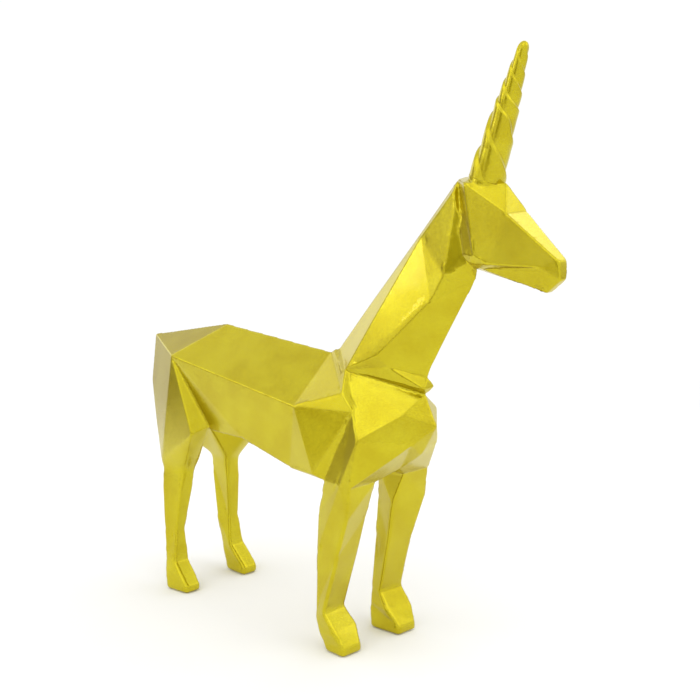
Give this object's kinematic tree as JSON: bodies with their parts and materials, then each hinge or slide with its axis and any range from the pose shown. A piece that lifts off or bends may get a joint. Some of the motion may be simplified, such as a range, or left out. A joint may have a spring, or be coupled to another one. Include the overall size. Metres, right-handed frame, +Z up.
{
  "type": "unicorn figurine",
  "caption": "Faceted standing unicorn ornament in gold lacquer, with a wound horn, cast in pieces that are pinned together and padded under the hooves.",
  "frame": {"origin": "on the floor under the middle of the figure's overall length and width", "axes": "+X forward, the way the head faces; +Y to the animal's left; +Z up"},
  "size_m": [0.314, 0.0626, 0.3203],
  "materials": {
    "gold_lacquer": "cast resin under glossy lacquer with fine gold flake",
    "steel": "plain drawn bar",
    "felt": "thin self-adhesive felt"
  },
  "bodies": {
    "root": {"trunk_right_half": "gold_lacquer", "trunk_left_half": "gold_lacquer", "neck": "gold_lacquer", "head": "gold_lacquer", "horn": "gold_lacquer", "fore_leg_right": "gold_lacquer", "fore_leg_left": "gold_lacquer", "hind_leg_right": "gold_lacquer", "hind_leg_left": "gold_lacquer", "neck_rod": "steel", "head_pin": "steel", "horn_pin": "steel", "fore_leg_rod_right": "steel", "fore_leg_rod_left": "steel", "hind_leg_rod_right": "steel", "hind_leg_rod_left": "steel", "seam_pins": "steel", "fore_leg_right_pad": "felt", "fore_leg_left_pad": "felt", "hind_leg_right_pad": "felt", "hind_leg_left_pad": "felt"}
  },
  "joints": []
}
